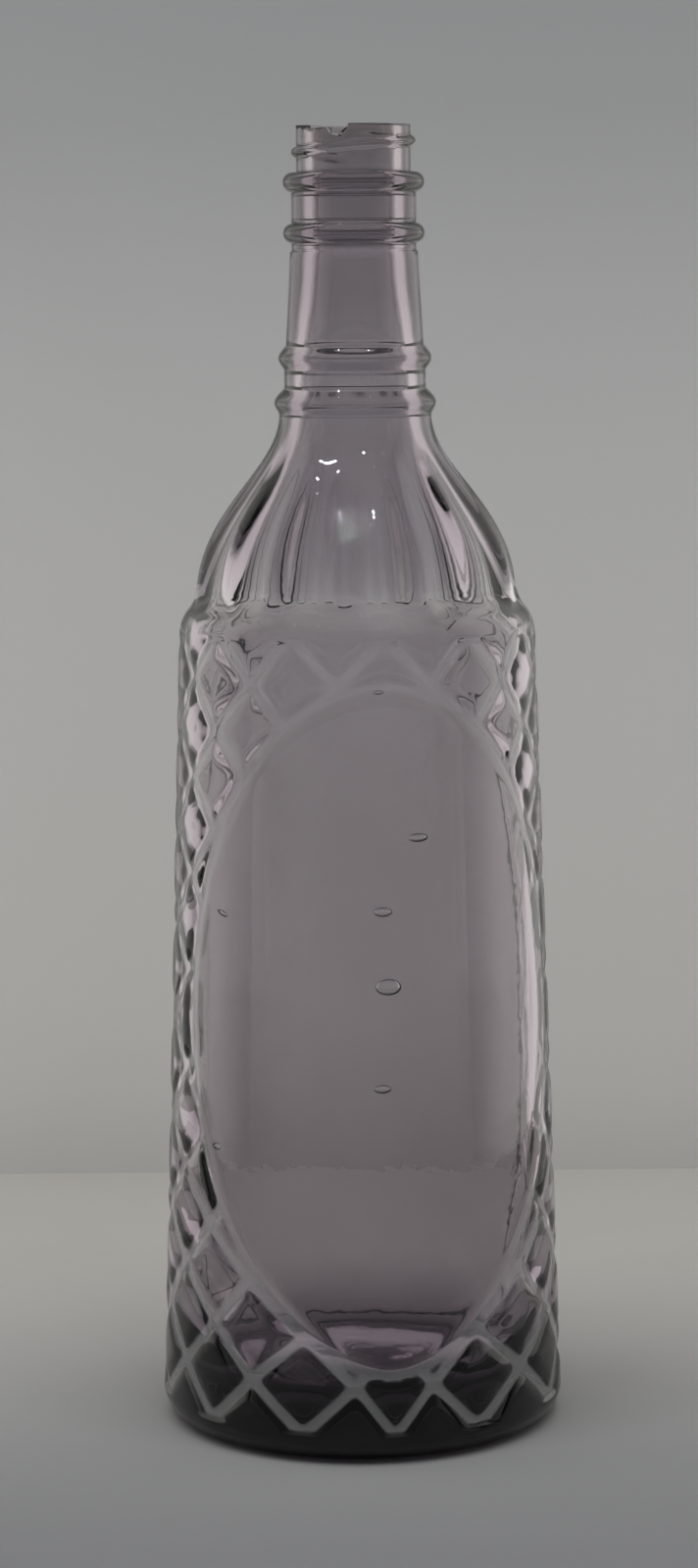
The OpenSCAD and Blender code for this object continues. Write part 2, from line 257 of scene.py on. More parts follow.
def camera_heading():
    """Directions to the camera's right and straight away from it, both level."""
    turn = math.radians(CAMERA_TURN)
    return (math.cos(turn), math.sin(turn), 0), (-math.sin(turn), math.cos(turn), 0)


def placed(right, up, back, place):
    """Matrix that turns an object to three axes and puts it at a place."""
    rows = [[right[i], up[i], back[i], place[i]] for i in range(3)]
    return Matrix(rows + [[0, 0, 0, 1]])


def make_camera():
    data = bpy.data.cameras.new("camera")
    data.lens = CAMERA_LENS
    data.sensor_width = SENSOR_WIDTH
    camera = bpy.data.objects.new("camera", data)
    bpy.context.scene.collection.objects.link(camera)
    place = in_camera_frame(0, -CAMERA_DISTANCE, CAMERA_HEIGHT)
    camera.matrix_world = placed(*camera_axes(), place)
    bpy.context.scene.camera = camera


# ---------------------------------------------------------------- profile of the glass

def bezier(a, b, c, d, n):
    """n points after the first on a cubic curve."""
    t = np.arange(1, n + 1)[:, None] / n
    s = 1 - t
    a, b, c, d = (np.array(p, float) for p in (a, b, c, d))
    return s ** 3 * a + 3 * s * s * t * b + 3 * s * t * t * c + t ** 3 * d


def straight(a, b, n):
    """n points after the first on a line."""
    t = np.arange(1, n + 1)[:, None] / n
    return (1 - t) * np.array(a, float) + t * np.array(b, float)


def arc(centre, radius, start, end, n):
    """n points after the first on an arc, with angles from the horizontal."""
    t = np.radians(start + (end - start) * np.arange(1, n + 1) / n)
    return np.stack([centre[0] + radius * np.cos(t), centre[1] + radius * np.sin(t)], 1)


def smooth(t):
    t = np.clip(t, 0, 1)
    return t * t * (3 - 2 * t)


def dome(t):
    """Rises steeply from 0 and levels off at 1."""
    t = np.clip(t, 0, 1)
    return 1 - (1 - t) ** 2


def cone_r(z):
    """Radius over the diamonds."""
    return BASE_R + (BAND_R - BASE_R) * (z - HEEL_TOP) / (BODY_TOP - HEEL_TOP)


def cavity_r(z):
    """Radius of the cavity inside the body."""
    share = (z - CAVITY_LOW) / (CAVITY_HIGH - CAVITY_LOW)
    return cone_r(z) - RELIEF - WALL_LOW - (WALL_HIGH - WALL_LOW) * share


def radius_on(curve, z):
    return np.interp(z, curve[:, 1], curve[:, 0])


def knee_curve():
    """Radius and height up the rounded knuckle between the diamonds and the flutes."""
    start = (cone_r(KNEE_LOW), KNEE_LOW)
    end = (FLUTE_R - 0.05, KNEE_TOP)
    return np.concatenate([
        [start],
        bezier(start, (39.6, 180.2), (39.0, 182.2), KNEE_MIDDLE, 30),
        bezier(KNEE_MIDDLE, (36.5, 185.1), (FLUTE_R + 0.1, 186.6), end, 30),
    ])


def ridge_curve(knee):
    """Radius and height up the ridges between the flutes."""
    ridge = bezier((FLUTE_R, FLUTE_LOW), (FLUTE_R, FLUTE_LOW + 20),
                   (NECK_LOW_R, FLUTE_HIGH - 12), (NECK_LOW_R, FLUTE_HIGH), 200)
    foot = ridge[:, 1] < KNEE_TOP
    ridge[foot, 0] = radius_on(knee, ridge[foot, 1])
    return ridge


def bulge(low, high, r_low, r_high, r_top, n):
    """n points up the outside of a soft bead."""
    t = np.arange(1, n + 1) / n
    wall = r_low + (r_high - r_low) * t
    top = r_top - (r_low + r_high) / 2
    return np.stack([wall + top * np.sin(np.pi * t) ** 1.15, low + (high - low) * t], 1)


def outer_profile():
    """Radius and height of every row outside, from the middle of the underside to the lip,
    with the first and last row of each zone."""
    zones = {}
    points = [np.array([[0.0, PUSH_UP]])]

    def add(name, rows):
        first = sum(len(p) for p in points)
        zones[name] = (first, first + len(rows))
        points.append(np.asarray(rows, float))

    r = FOOT_IN * np.sqrt(np.arange(1, 9) / 9)
    add("underside", np.stack([r, PUSH_UP * (1 - (r / FOOT_IN) ** 2)], 1))
    add("foot", [(FOOT_IN - 0.2, 0.25), (FOOT_IN + 0.5, 0.0), (FOOT_OUT - 0.3, 0.0)])
    a = np.radians(np.arange(8, 90, 8))
    heel_out = BASE_R - FOOT_OUT
    add("heel", np.stack([FOOT_OUT + heel_out * np.sin(a), HEEL_TOP * (1 - np.cos(a))], 1))
    knee = knee_curve()
    z = HEEL_TOP + ROW_H * np.arange(ROWS * HALF_DIAMOND + 1) / HALF_DIAMOND
    add("body", np.stack([np.where(z < KNEE_LOW, cone_r(z), radius_on(knee, z)), z], 1))
    z = np.arange(z[-1] + VALLEY_STEP, KNEE_TOP - VALLEY_STEP / 2, VALLEY_STEP)
    add("valley", np.stack([radius_on(knee, z), z], 1))
    z = np.concatenate([np.arange(KNEE_TOP, FINE_FLUTE_TOP, 0.5),
                        np.linspace(FINE_FLUTE_TOP, FLUTE_HIGH, 44)])
    add("flutes", np.stack([radius_on(ridge_curve(knee), z), z], 1))

    add("lower_bead", bulge(FLUTE_HIGH, WAIST_LOW, NECK_LOW_R, WAIST_R, LOWER_BEAD_R, 14))
    add("waist", straight((WAIST_R, WAIST_LOW), (WAIST_R, WAIST_HIGH), 4))
    add("upper_bead", bulge(WAIST_HIGH, BEAD_HIGH, WAIST_R, TUBE_R, UPPER_BEAD_R, 14))
    add("tube", straight((TUBE_R, BEAD_HIGH), (NECK_HIGH_R, FINISH_LOW), 12))
    add("parting", [(NECK_HIGH_R - 0.12, FINISH_LOW + 0.15), (COLLAR_R, FINISH_LOW + 0.3)])
    section = (RING_HIGH - RING_LOW) / 2
    middle_r = RING_R - section
    low_end = math.degrees(math.acos((COLLAR_R - middle_r) / section))
    high_end = math.degrees(math.acos((MOUTH_R - middle_r) / section))
    rings = (("lower_ring", RING_LOW, low_end, 3), ("upper_ring", UPPER_RING_LOW, high_end, 6))
    for name, low, end, wall_rows in rings:
        middle = low + section
        foot = (COLLAR_R, middle + section * math.sin(math.radians(-low_end)))
        add(name + "_wall", straight(points[-1][-1], foot, wall_rows))
        add(name, arc((middle_r, middle), section, -low_end, end, 16))
    z = np.arange(points[-1][-1][1] + FINISH_STEP, TOTAL_H - LIP_ROUND, FINISH_STEP)
    add("finish", np.stack([np.full(len(z), MOUTH_R), z], 1))
    add("lip", np.concatenate([
        arc((MOUTH_R - LIP_ROUND, TOTAL_H - LIP_ROUND), LIP_ROUND, 0, 90, 5),
        straight((MOUTH_R - LIP_ROUND, TOTAL_H), (BORE_R + BORE_ROUND, TOTAL_H), 4),
        arc((BORE_R + BORE_ROUND, TOTAL_H - BORE_ROUND), BORE_ROUND, 90, 180, 4),
    ]))
    return np.concatenate(points), zones


def inner_profile():
    """Radius and height of every row inside, from under the lip down to the middle of the floor."""
    a = np.radians(np.arange(6, 91, 6))
    corner = cavity_r(CAVITY_LOW) - CORNER_R
    top = cavity_r(CAVITY_HIGH)
    z = np.linspace(CAVITY_HIGH, CAVITY_LOW, 23)[1:]
    r = CORNER_R * np.sqrt(np.arange(8, -1, -1) / 9)
    return np.concatenate([
        straight((BORE_R, TOTAL_H - BORE_ROUND), (BORE_R, TOTAL_H - 4), 6),
        straight((BORE_R, TOTAL_H - 4), (BORE_R, FINISH_LOW), 8),
        bezier((BORE_R, FINISH_LOW), (BORE_R, BORE_BENDS[0]),
               (NECK_CAVITY_R, BORE_BENDS[1]), (NECK_CAVITY_R, FLUTE_HIGH), 24),
        bezier((NECK_CAVITY_R, FLUTE_HIGH), (NECK_CAVITY_R, SHOULDER_BENDS[0]),
               (top, SHOULDER_BENDS[1]), (top, CAVITY_HIGH), 24),
        np.stack([cavity_r(z), z], 1),
        np.stack([CORNER_R + corner * np.cos(a), CAVITY_LOW - (CAVITY_LOW - FLOOR_T) * np.sin(a)], 1),
        np.stack([r, FLOOR_T + PUSH_UP * (1 - (r / CORNER_R) ** 2) ** 2], 1),
    ])


# ---------------------------------------------------------------- relief of the glass

def wrapped(angle):
    return (angle + 180) % 360 - 180


def panel_depth(angle, z, low, shape, radius):
    """Distance inside the edge of a label panel, negative outside it."""
    above = z > PANEL_MIDDLE
    reach = np.where(above, PANEL_TOP - PANEL_MIDDLE, PANEL_MIDDLE - low)
    half_angle, power_above, power_below = shape
    power = np.where(above, power_above, power_below)
    across = np.maximum(abs(angle) / half_angle, 1e-4)
    along = np.maximum(abs(z - PANEL_MIDDLE) / reach, 1e-4)
    rho = (across ** power + along ** power) ** (1 / power)
    slope_across = (across / rho) ** (power - 1) / (half_angle * np.radians(1) * radius)
    slope_along = (along / rho) ** (power - 1) / reach
    return (1 - rho) / np.hypot(slope_across, slope_along)


def diamond_height(angle, z, radius):
    """0 on the straps and 1 on top of the diamonds."""
    half_turn = 180 / DIAMONDS
    row = (z - HEEL_TOP) / ROW_H
    slope = np.hypot(1 / (half_turn * np.radians(1) * radius), 1 / ROW_H)
    height = np.ones_like(z)
    for line in (angle / half_turn + row, angle / half_turn - row):
        off = abs((line + 1) % 2 - 1) / slope
        height *= dome((off - STRAP / 2) / FLANK)
    return height


def body_relief(angle, pinched, z, radius):
    """Height of the body's surface over the floor of the straps, and how dusty it is."""
    front = panel_depth(wrapped(pinched), z, PANEL_LOW, FRONT_SHAPE, radius)
    back = panel_depth(wrapped(pinched + 180), z, BACK_PANEL_LOW, BACK_SHAPE, radius)
    depth = np.maximum(front, back)
    cells = RELIEF * diamond_height(angle, z, radius)
    ends = smooth((z - HEEL_TOP + 1.0) / 2.0) * smooth((BODY_TOP + 2.2 - z) / 2.5)
    cells = RELIEF - (RELIEF - cells) * ends
    cells = cells * dome((-depth - BORDER) / BORDER_FLANK)
    height = np.where(depth > 0, PANEL_RISE * dome(depth / PANEL_EDGE), cells)
    dust = np.where(depth > 0, smooth(1 - 3 * depth), smooth(1 - 5 * cells / RELIEF))
    dust *= 0.3 + 0.7 * smooth((DUST_HIGH - z) / DUST_RUN)
    dust *= np.where(depth > -BORDER, 0.7, 1.0)
    return height, dust


def flute_cut(angle, z, radius):
    """Depth of the flutes under their ridges."""
    across = abs(2 * wrapped(angle * FLUTES) / 360)
    crest = RIDGE_AT / (1 - RIDGE_AT) * (1 - across) ** 2
    hollow = np.where(across < RIDGE_AT, 1 - across ** 2 - (1 - RIDGE_AT), crest) / RIDGE_AT
    rise = (z - FLUTE_LOW) / (FLUTE_HIGH - FLUTE_LOW)
    depth = FLUTE_DEPTH * smooth(2.2 * (0.93 - rise)) * np.minimum(radius / FLUTE_R, 1)
    start = smooth((z - FLUTE_START - FLUTE_START_BOW * across ** 2.5) / FLUTE_START_RUN)
    return depth * hollow * start


def threaded(angle, z, radius):
    """Radius with the bead of the thread, which climbs to the right and fades at the back."""
    from_camera = wrapped(angle - CAMERA_TURN)
    middle = THREAD_Z + THREAD_CLIMB * from_camera / 180
    fade = smooth((180 - abs(from_camera)) / THREAD_FADE)
    off = np.clip(abs(z - middle) / THREAD_HALF, 0, 1)
    bead = (THREAD_R - MOUTH_R) * fade * np.sqrt(1 - off * off)
    on_wall = np.where(radius > MOUTH_R - 0.7, MOUTH_R + bead, 0)
    return np.where(z > UPPER_RING_HIGH - 1, np.maximum(radius, on_wall), radius)


def lip_drop():
    """How much lower the chipped rim is at each column: a rough stretch at the front left, with
    a notch at its end."""
    rng = np.random.default_rng(11)
    rough = np.convolve(np.tile(rng.normal(0, 1, COLUMNS), 3), [0.25, 0.5, 0.25], "same")
    rough = rough[COLUMNS:2 * COLUMNS]
    seen = wrapped(AROUND - CAMERA_TURN)
    chip = smooth((seen - CHIP_FROM) / 10) * smooth((CHIP_TO - seen) / 4)
    notch = np.clip(1 - abs(seen - NOTCH_AT) / NOTCH_HALF, 0, 1)
    drop = chip * (CHIP_DEPTH + 0.22 * rough) + NOTCH_DEPTH * dome(notch) * (1 + 0.08 * rough)
    return np.minimum(drop, CHIP_MOST)


def wall_waves(angle, z):
    """The inside is never quite round: long soft waves run up and down the wall."""
    waves = np.zeros_like(z)
    for turns, lean, size, phase in WAVES:
        waves += size * np.cos(np.radians(turns * angle + phase + z * lean * 57))
    return waves


# ---------------------------------------------------------------- mesh of the glass

def make_glass_grid():
    """Radius, height and angle of every vertex, the profile's rows, and the dust."""
    outer, zones = outer_profile()
    rows = np.concatenate([outer, inner_profile()])
    count = len(rows) - 2  # without the two middle points
    ring = rows[1:-1]
    r = np.repeat(ring[:, :1], COLUMNS, 1)
    z = np.repeat(ring[:, 1:], COLUMNS, 1)
    angle = np.repeat(AROUND[None, :], count, 0)
    turned = angle.copy()
    dust = np.zeros_like(r)

    def rows_of(first, last=None):
        return slice(zones[first][0] - 1, zones[last or first][1] - 1)

    body = rows_of("body")
    row = (z[body] - HEEL_TOP) / ROW_H
    turned[body] += np.interp(angle[body], PINCH_AT, PINCH) * np.interp(row, PINCH_ROWS, PINCH_SHARE)
    height, dust[body] = body_relief(angle[body], turned[body], z[body], r[body])
    r[body] += height - RELIEF
    heel = rows_of("heel")
    pinch = np.interp(AROUND, PINCH_AT, PINCH) * PINCH_SHARE[0]
    turned[heel] += pinch * smooth(ring[heel, 1] / HEEL_TOP)[:, None]

    flutes = rows_of("valley", "flutes")
    r[flutes] -= flute_cut(turned[flutes], z[flutes], r[flutes])
    finish = rows_of("upper_ring", "lip")
    r[finish] = threaded(turned[finish], z[finish], r[finish])
    top = slice(finish.start, count)
    near = smooth((z[top] - (TOTAL_H - CHIP_REACH)) / CHIP_REACH)
    z[top] -= near * lip_drop()[None, :]
    inside = slice(len(outer) - 1, count)
    r[inside] += wall_waves(angle[inside], z[inside]) * smooth((r[inside] - 5) / 30)
    return r, z, turned, rows, dust


def glass_mesh():
    """Vertices, triangles and dust of the wall, one closed surface outside and inside."""
    r, z, turned, rows, dust = make_glass_grid()
    count = len(r)
    a = np.radians(turned)
    points = np.stack([r * np.sin(a), -r * np.cos(a), z], 2)
    middles = [[0, 0, rows[0, 1]], [0, 0, rows[-1, 1]]]
    vertices = np.concatenate([points.reshape(-1, 3), middles])
    row, column = np.meshgrid(np.arange(count - 1), np.arange(COLUMNS), indexing="ij")
    after = (column + 1) % COLUMNS
    p00, p01 = row * COLUMNS + column, row * COLUMNS + after
    p10, p11 = p00 + COLUMNS, p01 + COLUMNS
    # Each square is cut along the diagonal on which its radius changes less.
    rising = abs(r[:-1] - np.roll(r, -1, 1)[1:]) <= abs(np.roll(r, -1, 1)[:-1] - r[1:])
    rising = rising[..., None]
    one = np.where(rising, np.stack([p00, p01, p11], 2), np.stack([p00, p01, p10], 2))
    two = np.where(rising, np.stack([p00, p11, p10], 2), np.stack([p01, p11, p10], 2))
    first = np.arange(COLUMNS)
    last = (count - 1) * COLUMNS + first
    low, high = count * COLUMNS, count * COLUMNS + 1
    fans = [np.stack([np.roll(first, -1), first, np.full(COLUMNS, low)], 1),
            np.stack([last, np.roll(last, -1), np.full(COLUMNS, high)], 1)]
    faces = np.concatenate([one.reshape(-1, 3), two.reshape(-1, 3), *fans])
    return vertices, faces, dust.ravel()


def surface_r(z):
    """Radius half way up the relief of the body."""
    profile, _ = outer_profile()
    part = profile[(profile[:, 1] > 5) & (profile[:, 0] > 10)]
    return float(np.interp(z, part[:, 1], part[:, 0])) - RELIEF / 2


def bubble(angle, z, width, height, thick, depth, lean):
    """Shell of an ellipsoid of air in the wall, facing inwards, at a depth under the surface."""
    n, m = 20, 12
    a = np.linspace(0, 2 * np.pi, n, endpoint=False)
    b = np.linspace(0, np.pi, m + 1)[1:-1]
    ball = np.concatenate([
        np.stack([np.outer(np.sin(b), np.cos(a)), np.outer(np.sin(b), np.sin(a)),
                  np.repeat(np.cos(b)[:, None], n, 1)], 2).reshape(-1, 3),
        [[0, 0, 1], [0, 0, -1]]])
    tilt = math.radians(lean)
    x = ball[:, 0] * width / 2
    y = ball[:, 1] * thick / 2
    h = ball[:, 2] * height / 2
    x, h = x * math.cos(tilt) - h * math.sin(tilt), x * math.sin(tilt) + h * math.cos(tilt)
    wall_r = surface_r(z) - depth
    radius = wall_r - y
    turn = math.radians(angle) + x / wall_r
    vertices = np.stack([radius * np.sin(turn), -radius * np.cos(turn), z + h], 1)
    row, column = np.meshgrid(np.arange(m - 2), np.arange(n), indexing="ij")
    after = (column + 1) % n
    p00, p01 = row * n + column, row * n + after
    p10, p11 = (row + 1) * n + column, (row + 1) * n + after
    first = np.arange(n)
    last = (m - 2) * n + first
    top, bottom = (m - 1) * n, (m - 1) * n + 1
    faces = np.concatenate([
        np.stack([p00, p10, p11], 2).reshape(-1, 3),
        np.stack([p00, p11, p01], 2).reshape(-1, 3),
        np.stack([np.roll(first, -1), np.full(n, top), first], 1),
        np.stack([last, np.full(n, bottom), np.roll(last, -1)], 1),
    ])
    # Turned so that every face looks at the bubble's own middle.
    corner = vertices[faces]
    normal = np.cross(corner[:, 1] - corner[:, 0], corner[:, 2] - corner[:, 0])
    outward = (normal * (corner.mean(1) - vertices.mean(0))).sum(1) > 0
    faces[outward] = faces[outward][:, ::-1]
    return vertices, faces


def make_object(name, vertices, faces, material, smooth_faces=True):
    mesh = bpy.data.meshes.new(name)
    mesh.vertices.add(len(vertices))
    mesh.vertices.foreach_set("co", (vertices * MM).astype(np.float32).ravel())
    mesh.loops.add(faces.size)
    mesh.loops.foreach_set("vertex_index", faces.astype(np.int32).ravel())
    mesh.polygons.add(len(faces))
    starts = np.arange(0, faces.size, faces.shape[1], dtype=np.int32)
    mesh.polygons.foreach_set("loop_start", starts)
    mesh.polygons.foreach_set("use_smooth", np.full(len(faces), smooth_faces))
    mesh.update(calc_edges=True)
    mesh.validate()
    mesh.materials.append(material)
    piece = bpy.data.objects.new(name, mesh)
    bpy.context.scene.collection.objects.link(piece)
    return piece


def make_bottle():
    vertices, faces, dust = glass_mesh()
    for item in BUBBLES:
        more, shell = bubble(*item)
        faces = np.concatenate([faces, shell + len(vertices)])
        vertices = np.concatenate([vertices, more])
    bottle = make_object("glass_bottle", vertices, faces, glass_material())
    layer = bottle.data.attributes.new("dust", "FLOAT", "POINT")
    layer.data.foreach_set("value", np.pad(dust, (0, len(vertices) - len(dust))).astype(np.float32))
    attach(bottle, "root")
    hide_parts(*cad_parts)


# ---------------------------------------------------------------- materials

def new_nodes(owner):
    """Nodes and links of a new material or world."""
    owner.use_nodes = True
    return owner.node_tree.nodes, owner.node_tree.links


def map_range(nodes, links, source, start, end, low=0.0, high=1.0, soft=False):
    """Goes from low to high as the source goes from start to end."""
    node = nodes.new("ShaderNodeMapRange")
    if soft:
        node.interpolation_type = "SMOOTHSTEP"
    node.inputs["From Min"].default_value = start
    node.inputs["From Max"].default_value = end
    node.inputs["To Min"].default_value = low
    node.inputs["To Max"].default_value = high
    links.new(source, node.inputs["Value"])
    return node.outputs["Result"]


def along_axis(nodes, links, source, axis):
    """How far the source lies along an axis."""
    node = nodes.new("ShaderNodeVectorMath")
    node.operation = "DOT_PRODUCT"
    node.inputs[1].default_value = axis
    links.new(source, node.inputs[0])
    return node.outputs["Value"]


def calculate(nodes, links, operation, *values):
    """Result of a Math node on numbers and on other nodes' outputs."""
    node = nodes.new("ShaderNodeMath")
    node.operation = operation
    for socket, value in zip(node.inputs, values):
        if isinstance(value, (int, float)):
            socket.default_value = value
        else:
            links.new(value, socket)
    return node.outputs["Value"]


def noise(nodes, links, source, scale, detail, roughness=0.5):
    node = nodes.new("ShaderNodeTexNoise")
    node.inputs["Scale"].default_value = scale
    node.inputs["Detail"].default_value = detail
    node.inputs["Roughness"].default_value = roughness
    links.new(source, node.inputs["Vector"])
    return node.outputs["Fac"]


def stain_and_shade_colour(nodes, links, place):
    """Old stain and painted shade: none on the body, a little in the neck, more around the rings and the
    mouth; the dark bands along the rings' edges are painted shade.
    """
    axes = nodes.new("ShaderNodeSeparateXYZ")
    links.new(place, axes.inputs[0])
    height = map_range(nodes, links, axes.outputs["Z"], FLUTE_HIGH * MM, TOTAL_H * MM)
    ramp = nodes.new("ShaderNodeValToRGB")
    elements = ramp.color_ramp.elements
    elements[0].color = (1, 1, 1, 1)
    elements[1].color = (*MOUTH_STAIN, 1)
    # Each band darkens the glass's colour: stain, and painted shade at the rings' edges.
    for z, shade in STAIN_AND_SHADE_BANDS:
        at = (z - FLUTE_HIGH) / (TOTAL_H - FLUTE_HIGH)
        elements.new(at).color = (shade, shade * STAIN_WARMTH, shade * STAIN_WARMTH, 1)
    links.new(height, ramp.inputs["Fac"])
    return ramp.outputs["Color"]


def glass_material():
    material = bpy.data.materials.new("lavender_glass")
    nodes, links = new_nodes(material)
    shader = nodes["Principled BSDF"]
    shader.inputs["Roughness"].default_value = 0.0
    shader.inputs["IOR"].default_value = GLASS_IOR
    absorb = nodes.new("ShaderNodeVolumeAbsorption")
    absorb.inputs["Color"].default_value = (*GLASS_TINT, 1)
    absorb.inputs["Density"].default_value = TINT_DENSITY
    links.new(absorb.outputs["Volume"], nodes["Material Output"].inputs["Volume"])
    place = nodes.new("ShaderNodeTexCoord").outputs["Object"]

    patches = noise(nodes, links, place, 60, 8, 0.7)
    blend = nodes.new("ShaderNodeMix")
    blend.data_type = "RGBA"
    blend.blend_type = "MULTIPLY"
    blend.inputs["Factor"].default_value = 1
    links.new(stain_and_shade_colour(nodes, links, place), blend.inputs["A"])
    links.new(map_range(nodes, links, patches, 0.3, 0.7, FILM_LEAST), blend.inputs["B"])
    links.new(blend.outputs["Result"], shader.inputs["Base Color"])

    # Fine dust lies on the straps and the panel borders, which are lower than the rest.
    settled = nodes.new("ShaderNodeAttribute")
    settled.attribute_name = "dust"
    patchy = map_range(nodes, links, patches, 0.25, 0.75, DUST * DUST_LEAST, DUST)
    hidden = calculate(nodes, links, "MULTIPLY", settled.outputs["Fac"], patchy)
    clear = calculate(nodes, links, "SUBTRACT", 1, hidden)
    links.new(clear, shader.inputs["Transmission Weight"])

    bump = nodes.new("ShaderNodeBump")
    bump.inputs["Strength"].default_value = RIPPLE_STRENGTH
    bump.inputs["Distance"].default_value = RIPPLE_HEIGHT
    links.new(noise(nodes, links, place, RIPPLE_SCALE, 3), bump.inputs["Height"])
    links.new(bump.outputs["Normal"], shader.inputs["Normal"])
    return material


def stage_material(name, shades, axis, start, end, far_colour=None, see_through_back=False):
    """Matt paint that shades through the colours along a direction, and to another far away; on the table
    and the wall these colours are painted light and shade.
    """
    material = bpy.data.materials.new(name)
    nodes, links = new_nodes(material)
    shader = nodes["Principled BSDF"]
    shader.inputs["Roughness"].default_value = 0.9
    shader.inputs["Specular IOR Level"].default_value = 0.1
    place = nodes.new("ShaderNodeTexCoord").outputs["Object"]
    along = along_axis(nodes, links, place, axis)
    ramp = nodes.new("ShaderNodeValToRGB")
    ramp.color_ramp.interpolation = "B_SPLINE"
    elements = ramp.color_ramp.elements
    while len(elements) < len(shades):
        elements.new(0.5)
    for element, (at, colour) in zip(elements, shades):
        element.position = at
        element.color = (*colour, 1)
    links.new(map_range(nodes, links, along, start * MM, end * MM), ramp.inputs["Fac"])
    paint = ramp.outputs["Color"]
    if far_colour:
        away = nodes.new("ShaderNodeVectorMath")
        away.operation = "LENGTH"
        links.new(place, away.inputs[0])
        edge = map_range(nodes, links, away.outputs["Value"], FAR_START * MM, FAR_END * MM, soft=True)
        mix = nodes.new("ShaderNodeMix")
        mix.data_type = "RGBA"
        mix.inputs["B"].default_value = (*far_colour, 1)
        links.new(edge, mix.inputs["Factor"])
        links.new(paint, mix.inputs["A"])
        paint = mix.outputs["Result"]
    links.new(paint, shader.inputs["Base Color"])
    if see_through_back:
        side = nodes.new("ShaderNodeNewGeometry")
        clear = nodes.new("ShaderNodeBsdfTransparent")
        mix = nodes.new("ShaderNodeMixShader")
        links.new(side.outputs["Backfacing"], mix.inputs["Fac"])
        links.new(shader.outputs["BSDF"], mix.inputs[1])
        links.new(clear.outputs["BSDF"], mix.inputs[2])
        links.new(mix.outputs["Shader"], nodes["Material Output"].inputs["Surface"])
    return material


def glow_material(name, colour, strength, ramps):
    """Glow whose strength is a product of ramps along directions."""
    material = bpy.data.materials.new(name)
    nodes, links = new_nodes(material)
    nodes.remove(nodes["Principled BSDF"])
    glow = nodes.new("ShaderNodeEmission")
    glow.inputs["Color"].default_value = (*colour, 1)
    place = nodes.new("ShaderNodeTexCoord").outputs["Object"]
    value = strength
    for axis, start, end, least in ramps:
        along = along_axis(nodes, links, place, axis)
        share = map_range(nodes, links, along, start * MM, end * MM, least, soft=True)
        value = calculate(nodes, links, "MULTIPLY", value, share)
    links.new(value, glow.inputs["Strength"])
    links.new(glow.outputs["Emission"], nodes["Material Output"].inputs["Surface"])
    return material


# ---------------------------------------------------------------- stage

def strip_faces(count):
    """Quads of a strip that has two points at each of its places."""
    return 2 * np.arange(count - 1)[:, None] + np.array([[0, 1, 3, 2]])


def wide_sheet(name, half_width, line, material):
    """Sheet across the camera's view that follows a line of distances and heights."""
    points = [in_camera_frame(side, ahead, h) for ahead, h in line for side in (-half_width, half_width)]
    return make_object(name, np.array(points) / MM, strip_faces(len(line)), material)


def glow_sheet(name, line, material, low, top):
    """Upright sheet of soft light that follows a line on the table."""
    points = [in_camera_frame(side, ahead, h) for side, ahead in line for h in (low, top)]
    sheet = make_object(name, np.array(points) / MM, strip_faces(len(line)), material, False)
    sheet.visible_camera = False
    return sheet


def make_stage():
    """A table with a wall close behind the bottle."""
    _, ahead = camera_heading()
    # The table's and the wall's colours carry painted light and shade.
    table_paint = stage_material("pale_table", TABLE_PAINTED_SHADE, ahead, TABLE_SHADES_FROM, WALL_BEHIND,
                                 far_colour=FAR_COLOUR)
    floor = wide_sheet("floor", TABLE_HALF, [(-TABLE_HALF, 0), (TABLE_HALF, 0)], table_paint)
    wall_paint = stage_material("pale_wall", WALL_PAINTED_SHADE, (0, 0, 1), 0, WALL_SHADES_TO,
                                see_through_back=True)
    wall = wide_sheet("backdrop", WALL_HALF_WIDTH, [(WALL_BEHIND, 0), (WALL_BEHIND, WALL_TOP)], wall_paint)
    # A glowing disc: painted light on the table inside the standing ring, where the clear glass would let
    # light through.
    a = np.radians(np.arange(0, 360, 5))
    disc = np.stack([UNDER_R * np.cos(a), UNDER_R * np.sin(a), np.full(len(a), UNDER_Z)], 1)
    paint = glow_material("painted_light_pool", UNDER_COLOUR, PAINTED_POOL_GLOW, [(ahead, *UNDER_FADE)])
    under = make_object("painted_light_pool", disc, np.arange(len(a))[None, :], paint, False)


# ---------------------------------------------------------------- light

def area_light(name, place, target, size, power, colour=(1, 1, 1), in_glass=True):
    """Lamp at a place in the camera's frame, turned to a target."""
    data = bpy.data.lights.new(name, "AREA")
    data.shape = "RECTANGLE"
    data.size, data.size_y = size[0] * MM, size[1] * MM
    data.energy = power
    data.color = colour
    lamp = bpy.data.objects.new(name, data)
    bpy.context.scene.collection.objects.link(lamp)
    start, end = (np.array(in_camera_frame(*p)) for p in (place, target))
    back = (start - end) / np.linalg.norm(start - end)
    side = np.cross([0, 0, 1.0], back)
    side /= np.linalg.norm(side)
    lamp.matrix_world = placed(side, np.cross(back, side), back, start)
    if not in_glass:
        lamp.visible_glossy = False
        lamp.visible_transmission = False


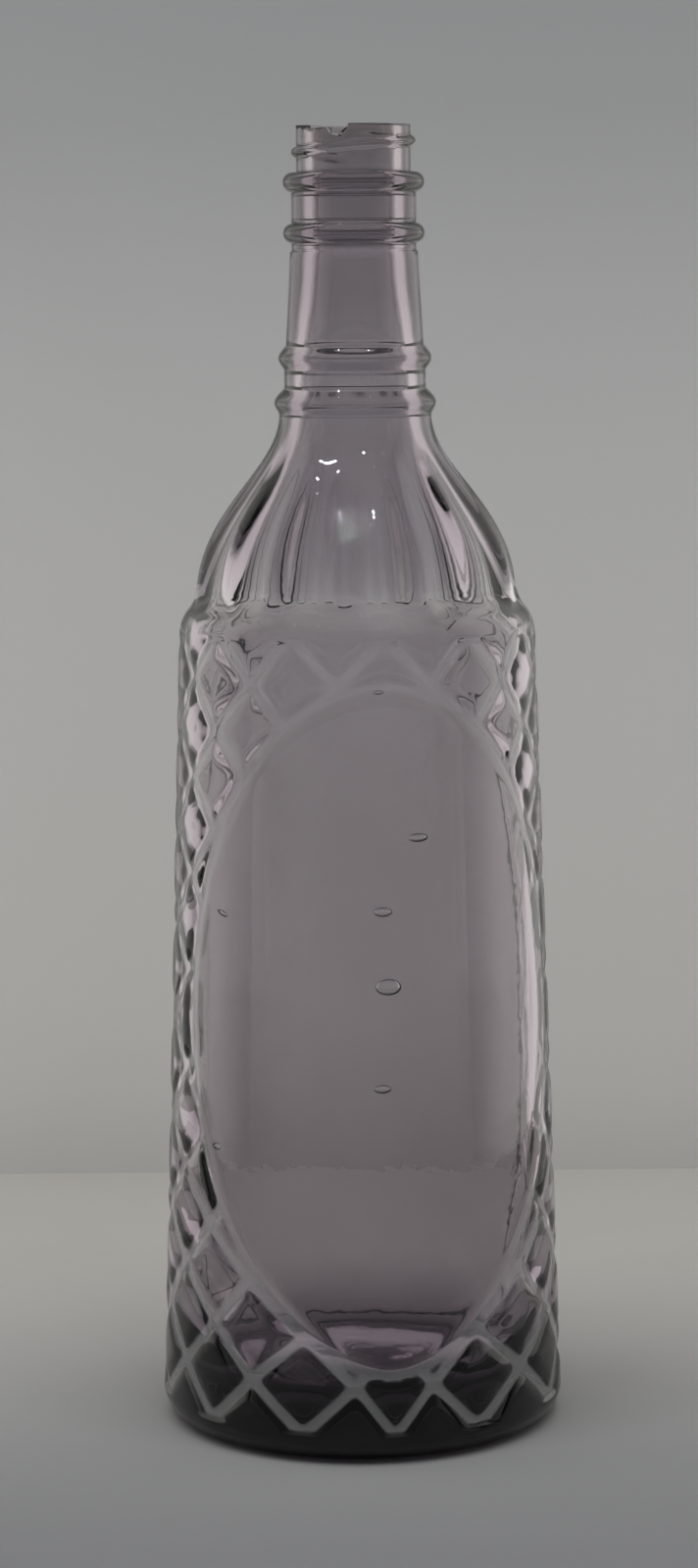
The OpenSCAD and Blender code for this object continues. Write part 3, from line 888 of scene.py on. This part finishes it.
def make_side_light(name, hand, table_glow, wing_glow):
    """A flat sheet that lights the table and the wall, and a curved one that the glass shows."""
    right, ahead = camera_heading()
    outward = tuple(hand * part for part in right)
    fades = [(ahead, DIFFUSER_FRONT, DIFFUSER_FRONT + FRONT_FADE, 0),
             ((0, 0, 1), DIFFUSER_TOP, DIFFUSER_TOP - TOP_FADE, 0)]
    side = hand * DIFFUSER_SIDE
    paint = glow_material(name + "_diffuser", DIFFUSER_COLOUR, table_glow, fades)
    line = [(side, DIFFUSER_FRONT), (side, WALL_BEHIND)]
    flat = glow_sheet(name + "_diffuser", line, paint, DIFFUSER_LOW, DIFFUSER_TOP)
    flat.visible_glossy = False
    flat.visible_transmission = False
    reach = DIFFUSER_SIDE - WING_START
    out = WING_START + reach * np.sin(np.linspace(0, 1, WING_POINTS) * np.pi / 2)
    behind = (WALL_BEHIND - 2) * (1 - ((out - WING_START) / reach) ** 4) ** 0.25
    line = [(hand * o, b) for o, b in zip(out, behind)] + [(side, DIFFUSER_FRONT)]
    ramps = fades + [(outward, WING_START, WING_FULL, WING_LEAST)]
    paint = glow_material(name + "_wing", WING_COLOUR, wing_glow, ramps)
    wing = glow_sheet(name + "_wing", line, paint, WING_LOW, DIFFUSER_TOP)
    wing.visible_diffuse = False
    wing.visible_shadow = False


def make_room():
    """Soft light of a room: dim in front of the bottle, brighter at both sides and above."""
    world = bpy.data.worlds.new("room")
    nodes, links = new_nodes(world)
    place = nodes.new("ShaderNodeTexCoord").outputs["Generated"]
    sideways = along_axis(nodes, links, place, camera_heading()[0])
    sideways = calculate(nodes, links, "ABSOLUTE", sideways)
    sides = map_range(nodes, links, sideways, *SIDE_LOBE, soft=True)
    upwards = along_axis(nodes, links, place, (0, 0, 1))
    above = map_range(nodes, links, upwards, *TOP_LOBE, soft=True)
    total = calculate(nodes, links, "MULTIPLY_ADD", sides, SIDE_LIGHT, ROOM_LIGHT)
    total = calculate(nodes, links, "MULTIPLY_ADD", above, TOP_LIGHT, total)
    links.new(total, nodes["Background"].inputs["Strength"])
    nodes["Background"].inputs["Color"].default_value = (*ROOM_COLOUR, 1)
    bpy.context.scene.world = world
    bpy.context.scene.view_settings.view_transform = "Standard"


def make_lights():
    make_side_light("left", -1, LEFT_GLOW, LEFT_WING)
    make_side_light("right", 1, RIGHT_GLOW, RIGHT_WING)
    aim = (0, WALL_BEHIND, WALL_LAMP_AIM)
    area_light("wall_lamp", WALL_LAMP_AT, aim, WALL_LAMP_SIZE, WALL_LAMP, in_glass=False)
    for i, (turn, rise) in enumerate(WINDOWS):
        turn, rise = math.radians(turn), math.radians(rise)
        away = WINDOW_AWAY * math.cos(rise)
        place = (away * math.sin(turn), -away * math.cos(turn), WINDOW_AIM + WINDOW_AWAY * math.sin(rise))
        area_light(f"window_{i}", place, (0, 0, WINDOW_AIM), WINDOW_SIZE, WINDOW_LIGHT, WINDOW_COLOUR)


make_camera()
make_bottle()
make_stage()
make_room()
make_lights()
